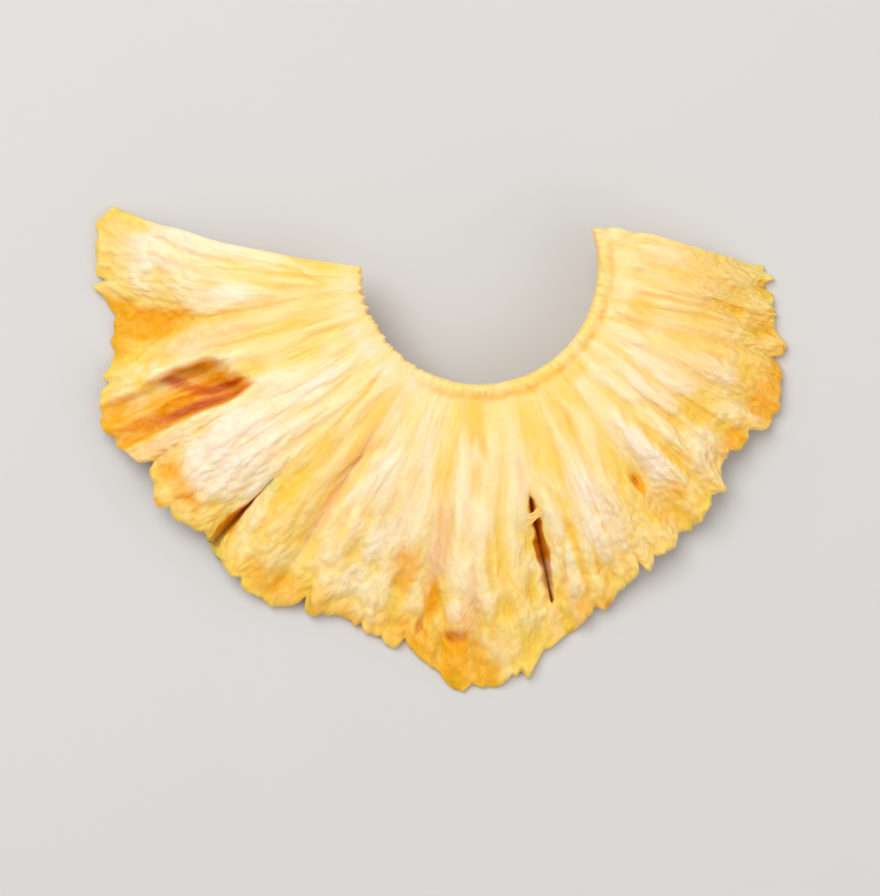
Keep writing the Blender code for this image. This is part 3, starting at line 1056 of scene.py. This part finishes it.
def fibrePiece(name, paths, material):
    # a path is a row of points, each with its place and its values by name
    chains = bmesh.new()
    names = ("thick", "pale", "gold")
    layers = {name: chains.verts.layers.float.new(name) for name in names}
    for path in paths:
        last = None
        for place, values in path:
            vert = chains.verts.new(place)
            for key, value in values.items():
                vert[layers[key]] = value
            if last:
                chains.edges.new((last, vert))
            last = vert
    mesh = bpy.data.meshes.new(name)
    chains.to_mesh(mesh)
    chains.free()
    piece = grown(name, mesh, fibreTree(), {"sides": fibres["sides"]}, material)
    print(name, "built:", len(paths), "fibres,", len(piece.data.polygons), "faces")
    return piece


def placeOn(surface, angle, radius, lift=0.0):
    # the point of the flesh straight below this angle and radius, or None beside it
    turned = math.radians(angle)
    above = flesh["holeMiddle"] + Vector((math.cos(turned), math.sin(turned), 0)) * radius
    above += Vector((0, 0, fibres["castHeight"]))
    hit = surface.ray_cast(above, Vector((0, 0, -1)))[0]
    return hit + Vector((0, 0, lift)) if hit else None


def fibresOnFlesh(surface):
    chance = random.Random(fibres["seed"])
    paths = []
    while len(paths) < fibres["onFlesh"]:
        along = chance.uniform(0.01, 0.99)
        start = chance.uniform(*fibres["starts"])
        end = min(0.97, start + chance.uniform(*fibres["runs"]))
        thick = chance.uniform(*fibres["onFleshRadius"])
        drift = chance.uniform(-fibres["drift"], fibres["drift"])
        gold = chance.choice(fibres["golds"])
        count = max(5, round((end - start) * fibres["fleshWidth"] / fibres["step"]))
        path = []
        for i in range(count + 1):
            share = i / count
            out = blend(start, end, share)
            angle = fibreAngle(along + drift * share * share, out)
            radius = blend(holeRadius(angle), outerRadius(angle), out)
            taper = math.sin(math.pi * blend(0.04, 0.96, share)) ** 0.6
            place = placeOn(surface, angle, radius, lift=thick * (0.7 * taper - 1.0))
            torn = any(
                abs(angle - split[0]) < fibres["clearOfSplits"] and split[1] - 0.1 < out
                for split in splits
            )
            if place is None or torn or inHollow(angle, out) > 0.05:
                path = None
                break
            path.append((place, {"thick": thick * taper, "gold": gold}))
        if path:
            paths.append(path)
    return paths


def bridgeFibres(surface):
    # a few strands that still cross the slit
    chance = random.Random(fibres["seed"] + 1)
    middle = splits[0][0]
    paths = []
    for i in range(fibres["bridgeStrands"]):
        radius = fibres["bridgeAt"] + chance.uniform(-fibres["bridgeSpread"], fibres["bridgeSpread"])
        thick = chance.uniform(*fibres["bridgeRadius"])
        slant = chance.uniform(*fibres["bridgeSlant"])
        reach = fibres["bridgeReach"] * chance.uniform(*fibres["bridgeReaches"])
        ends = [
            placeOn(surface, middle + side * reach, radius - side * slant, -fibres["bridgeSunk"])
            for side in (-1, 1)
        ]
        path = []
        for step in range(fibres["bridgeSteps"] + 1):
            share = step / fibres["bridgeSteps"]
            place = ends[0].lerp(ends[1], share)
            place.z -= fibres["bridgeSag"] * math.sin(math.pi * share)
            here = thick * (1.5 - 0.5 * math.sin(math.pi * share))
            path.append((place, {"thick": here, "gold": 0.6, "pale": 0.3}))
        paths.append(path)
    return paths


def buildFlesh(material):
    sheet, cuts = fleshSheet()
    layers = shapeSheet(sheet, cuts)
    drawUp(sheet, layers)
    mesh = bpy.data.meshes.new("pineappleFlesh")
    sheet.to_mesh(mesh)
    sheet.free()
    mesh.shade_smooth()
    return grown("pineappleFlesh", mesh, reliefTree(), relief, material)


driedFlesh = fleshMaterial()
fleshPiece = buildFlesh(driedFlesh)
print("flesh built:", len(fleshPiece.data.polygons), "faces")
topOfFlesh = BVHTree.FromObject(fleshPiece, bpy.context.evaluated_depsgraph_get())
driedFibre = fibreMaterial()
fibrePaths = fibresOnFlesh(topOfFlesh) + bridgeFibres(topOfFlesh)
surfaceFibres = fibrePiece("surfaceFibres", fibrePaths, driedFibre)

for piece in (fleshPiece, surfaceFibres):
    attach(piece, "root")
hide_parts("pineapple_slice")


# floor, light and camera

studio = {
    "floorSize": 2.4,
    "floorGap": 0.00004,  # how far below the slice the floor lies
    "floorColour": (0.60, 0.595, 0.585, 1.0),
    "floorRoughness": 0.75,
    "dustSize": 60.0,
    "dustShade": 0.985,
    "worldColour": (1.0, 0.985, 0.96, 1.0),
    "worldStrength": 0.53,
    "keyPower": 3.75, "keySize": 0.50, "keyAt": (-0.22, 0.30, 0.61),
    "fillPower": 1.5, "fillSize": 0.70, "fillAt": (0.55, -0.25, 0.50),
    "lens": 110.0, "sensor": 36.0, "widthFilled": 0.80, "image": (880, 896),
    "clipStart": 0.01,
}


def buildFloor():
    mesh = bpy.data.meshes.new("floor")
    sheet = bmesh.new()
    bmesh.ops.create_grid(sheet, x_segments=8, y_segments=8, size=studio["floorSize"] / 2)
    bmesh.ops.translate(sheet, verts=sheet.verts, vec=(0, 0, -studio["floorGap"]))
    sheet.to_mesh(mesh)
    sheet.free()
    material, tree, shader = newMaterial("paleFloor")
    place = wire.node(tree, "ShaderNodeTexCoord", out="Object")
    dust = speckle(tree, place, scale=studio["dustSize"], detail=4.0)
    low = tuple(studio["dustShade"] * part for part in studio["floorColour"][:3]) + (1.0,)
    tree.links.new(mixed(tree, dust, low, studio["floorColour"]).socket, shader.inputs["Base Color"])
    shader.inputs["Roughness"].default_value = studio["floorRoughness"]
    mesh.materials.append(material)
    floor = addObject("floor", mesh)


def addLight(name, power, size, at):
    lamp = bpy.data.lights.new(name, "AREA")
    lamp.energy = power
    lamp.size = size
    holder = addObject(name, lamp)
    holder.location = at
    holder.rotation_euler = (-Vector(at)).to_track_quat("-Z", "Y").to_euler()


def setWorld():
    world = bpy.data.worlds.new("softStudio")
    bpy.context.scene.world = world
    world.use_nodes = True
    background = world.node_tree.nodes["Background"]
    background.inputs["Color"].default_value = studio["worldColour"]
    background.inputs["Strength"].default_value = studio["worldStrength"]
    bpy.context.scene.view_settings.view_transform = "Standard"


def setCamera():
    # the photograph looks straight down, with its top towards +Y
    data = bpy.data.cameras.new("photoCamera")
    data.lens = studio["lens"]
    data.sensor_width = studio["sensor"]
    wide, tall = studio["image"]
    shown = (cadHigh.x - cadLow.x) / studio["widthFilled"] * max(wide, tall) / wide
    camera = addObject("photoCamera", data)
    middle = (cadLow + cadHigh) / 2
    camera.location = (middle.x, middle.y, middle.z + shown * studio["lens"] / studio["sensor"])
    data.clip_start = studio["clipStart"]
    bpy.context.scene.camera = camera


buildFloor()
addLight("keyLight", studio["keyPower"], studio["keySize"], studio["keyAt"])
addLight("fillLight", studio["fillPower"], studio["fillSize"], studio["fillAt"])
setWorld()
setCamera()
print("floor, lights and camera placed")
